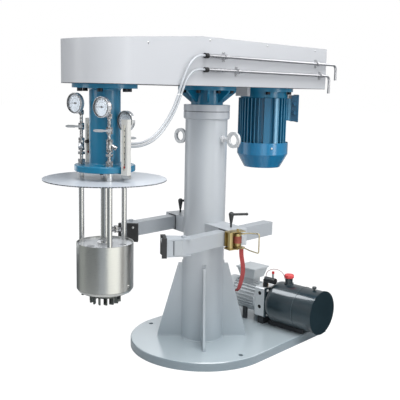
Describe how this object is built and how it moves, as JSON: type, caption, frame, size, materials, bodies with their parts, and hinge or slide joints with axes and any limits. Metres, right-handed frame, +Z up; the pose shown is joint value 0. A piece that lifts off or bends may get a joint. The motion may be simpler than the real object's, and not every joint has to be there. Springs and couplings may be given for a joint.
{
  "type": "basket mill",
  "caption": "Column-mounted basket mill: hydraulic lift, belt-driven milling head with a hanging basket, vessel clamp arms and a hydraulic power unit on a floor plate.",
  "frame": {"origin": "on the floor plate's underside, under the column's axis", "axes": "+X from the milling head to the drive motor, +Z up, -Y the side of the ratchet strap and the oil tank"},
  "size_m": [1.8744, 0.86, 1.621],
  "materials": {
    "plate_paint": "satin light grey paint",
    "column_paint": "satin light grey paint",
    "collar_paint": "satin grey paint",
    "hood_paint": "satin pale grey paint",
    "teal_paint": "gloss teal blue paint",
    "motor_paint": "gloss blue paint",
    "steel": "turned steel",
    "stainless": "brushed stainless steel",
    "bright": "bright plated",
    "dark_steel": "blackened steel",
    "iron": "machined cast iron",
    "gauge_metal": "plated case, pale dial",
    "clear_disc": "clear plastic sheet",
    "meter_body": "dark clear block",
    "black_plastic": "black",
    "black_paint": "gloss black paint",
    "pad_rubber": "black rubber",
    "belt_rubber": "black rubber",
    "casting": "cast aluminium",
    "red_plastic": "red",
    "zinc": "yellow zinc plate",
    "webbing": "red woven webbing",
    "hose_clear": "clear hose",
    "wire_red": "dark red insulation"
  },
  "bodies": {
    "stand": {"base_plate": "plate_paint", "column_tube": "column_paint", "column_collar": "collar_paint", "lift_cylinder": "steel", "eye_bolts": "stainless", "clamp_crossbar": "column_paint", "ratchet_frame": "zinc", "strap": "webbing", "hpu_motor": "casting", "hpu_manifold": "casting", "hpu_tank": "black_paint", "hpu_mounts": "black_paint", "hpu_wire": "wire_red"},
    "beam": {"ram": "stainless", "ram_flange": "teal_paint", "beam_plate": "hood_paint", "hood_shell": "hood_paint", "head_bolts": "stainless", "motor_frame": "motor_paint", "motor_flange": "motor_paint", "fan_cover": "motor_paint", "motor_terminal_box": "motor_paint", "head_housing": "teal_paint", "spindle_bearings": "steel", "tie_tubes": "stainless", "splash_disc": "clear_disc", "shaft_sleeve": "stainless", "basket_shell": "stainless", "basket_lid": "stainless", "basket_screen": "stainless", "gauge_cases": "gauge_metal", "pipe_stacks": "stainless", "rotameters": "meter_body", "lances": "stainless", "hose_upper": "hose_clear", "hose_lower": "hose_clear", "drive_belts": "belt_rubber"},
    "spindle": {"spindle_shaft": "steel", "spindle_pulley": "iron", "agitator": "stainless", "pump_impeller": "stainless"},
    "motor_rotor": {"motor_shaft": "steel", "motor_pulley": "iron"},
    "needle_left": {"gauge_needle_left": "black_plastic"},
    "needle_middle": {"gauge_needle_middle": "black_plastic"},
    "needle_right": {"gauge_needle_right": "black_plastic"},
    "lever_left": {"valve_lever_left": "bright"},
    "lever_middle": {"valve_lever_middle": "bright"},
    "lever_right": {"valve_lever_right": "bright"},
    "meter_knob": {"rotameter_knob": "black_plastic"},
    "arm_front": {"clamp_arm_front": "column_paint"},
    "arm_rear": {"clamp_arm_rear": "column_paint"},
    "holder_front": {"pad_holder_front": "column_paint", "pad_front": "pad_rubber"},
    "holder_rear": {"pad_holder_rear": "column_paint", "pad_rear": "pad_rubber"},
    "clamp_lever_front": {"clamp_lever_front": "dark_steel"},
    "clamp_lever_rear": {"clamp_lever_rear": "dark_steel"},
    "ratchet_bail": {"ratchet_handle": "bright"},
    "oil_cap": {"filler_cap": "red_plastic"}
  },
  "joints": [
    {"name": "lift", "type": "slide", "parent": "stand", "child": "beam", "axis": [0, 0, 1], "range_m": [0, 0.5]},
    {"name": "spindle_spin", "type": "hinge", "parent": "beam", "child": "spindle", "pos_m": [-0.682, 0, 1.2], "axis": [0, 0, 1], "continuous": true},
    {"name": "motor_spin", "type": "hinge", "parent": "beam", "child": "motor_rotor", "pos_m": [0.489, 0, 1.2], "axis": [0, 0, 1], "continuous": true},
    {"name": "needle_left_turn", "type": "hinge", "parent": "beam", "child": "needle_left", "pos_m": [-0.80555, 0.0636, 1.305], "axis": [0.9903, 0.1392, 0], "range_deg": [-45, 225]},
    {"name": "needle_middle_turn", "type": "hinge", "parent": "beam", "child": "needle_middle", "pos_m": [-0.78546, -0.09429, 1.293], "axis": [0.9903, 0.1392, 0], "range_deg": [-45, 225]},
    {"name": "needle_right_turn", "type": "hinge", "parent": "beam", "child": "needle_right", "pos_m": [-0.6689, -0.11639, 1.232], "axis": [0.9903, 0.1392, 0], "range_deg": [-45, 225]},
    {"name": "valve_left_turn", "type": "hinge", "parent": "beam", "child": "lever_left", "pos_m": [-0.77509, 0.05642, 1.203], "axis": [-0.7431, -0.6691, 0], "range_deg": [0, 90]},
    {"name": "valve_middle_turn", "type": "hinge", "parent": "beam", "child": "lever_middle", "pos_m": [-0.74509, -0.10008, 1.191], "axis": [-0.7431, -0.6691, 0], "range_deg": [0, 90]},
    {"name": "valve_right_turn", "type": "hinge", "parent": "beam", "child": "lever_right", "pos_m": [-0.67409, -0.12858, 1.16], "axis": [-0.7431, -0.6691, 0], "range_deg": [-90, 0]},
    {"name": "meter_knob_turn", "type": "hinge", "parent": "beam", "child": "meter_knob", "pos_m": [-0.69717, 0.10222, 1.13], "axis": [-0.9903, -0.1392, 0], "range_deg": [0, 720]},
    {"name": "arm_front_slide", "type": "slide", "parent": "stand", "child": "arm_front", "axis": [1, 0, 0], "range_m": [-0.08, 0.2]},
    {"name": "arm_rear_slide", "type": "slide", "parent": "stand", "child": "arm_rear", "axis": [1, 0, 0], "range_m": [-0.16, 0.12]},
    {"name": "pad_front_pivot", "type": "hinge", "parent": "arm_front", "child": "holder_front", "pos_m": [-0.4, -0.232, 0.649], "axis": [0, 0, 1], "range_deg": [-25, 25]},
    {"name": "pad_rear_pivot", "type": "hinge", "parent": "arm_rear", "child": "holder_rear", "pos_m": [-0.315, 0.232, 0.649], "axis": [0, 0, 1], "range_deg": [-25, 25]},
    {"name": "clamp_lever_front_turn", "type": "hinge", "parent": "stand", "child": "clamp_lever_front", "pos_m": [-0.0557, -0.232, 0.74], "axis": [0, 0, 1], "range_deg": [0, 180]},
    {"name": "clamp_lever_rear_turn", "type": "hinge", "parent": "stand", "child": "clamp_lever_rear", "pos_m": [0.0557, 0.232, 0.74], "axis": [0, 0, 1], "range_deg": [0, 180]},
    {"name": "ratchet_turn", "type": "hinge", "parent": "stand", "child": "ratchet_bail", "pos_m": [-0.08427, -0.29961, 0.645], "axis": [0, 0, 1], "range_deg": [-25, 70]},
    {"name": "oil_cap_turn", "type": "hinge", "parent": "stand", "child": "oil_cap", "pos_m": [0.46, -0.245, 0.34], "axis": [0, 0, 1], "range_deg": [0, 360]}
  ],
  "couplings": [
    {"joint": "motor_spin", "follows": "spindle_spin", "ratio": 1.4286}
  ]
}
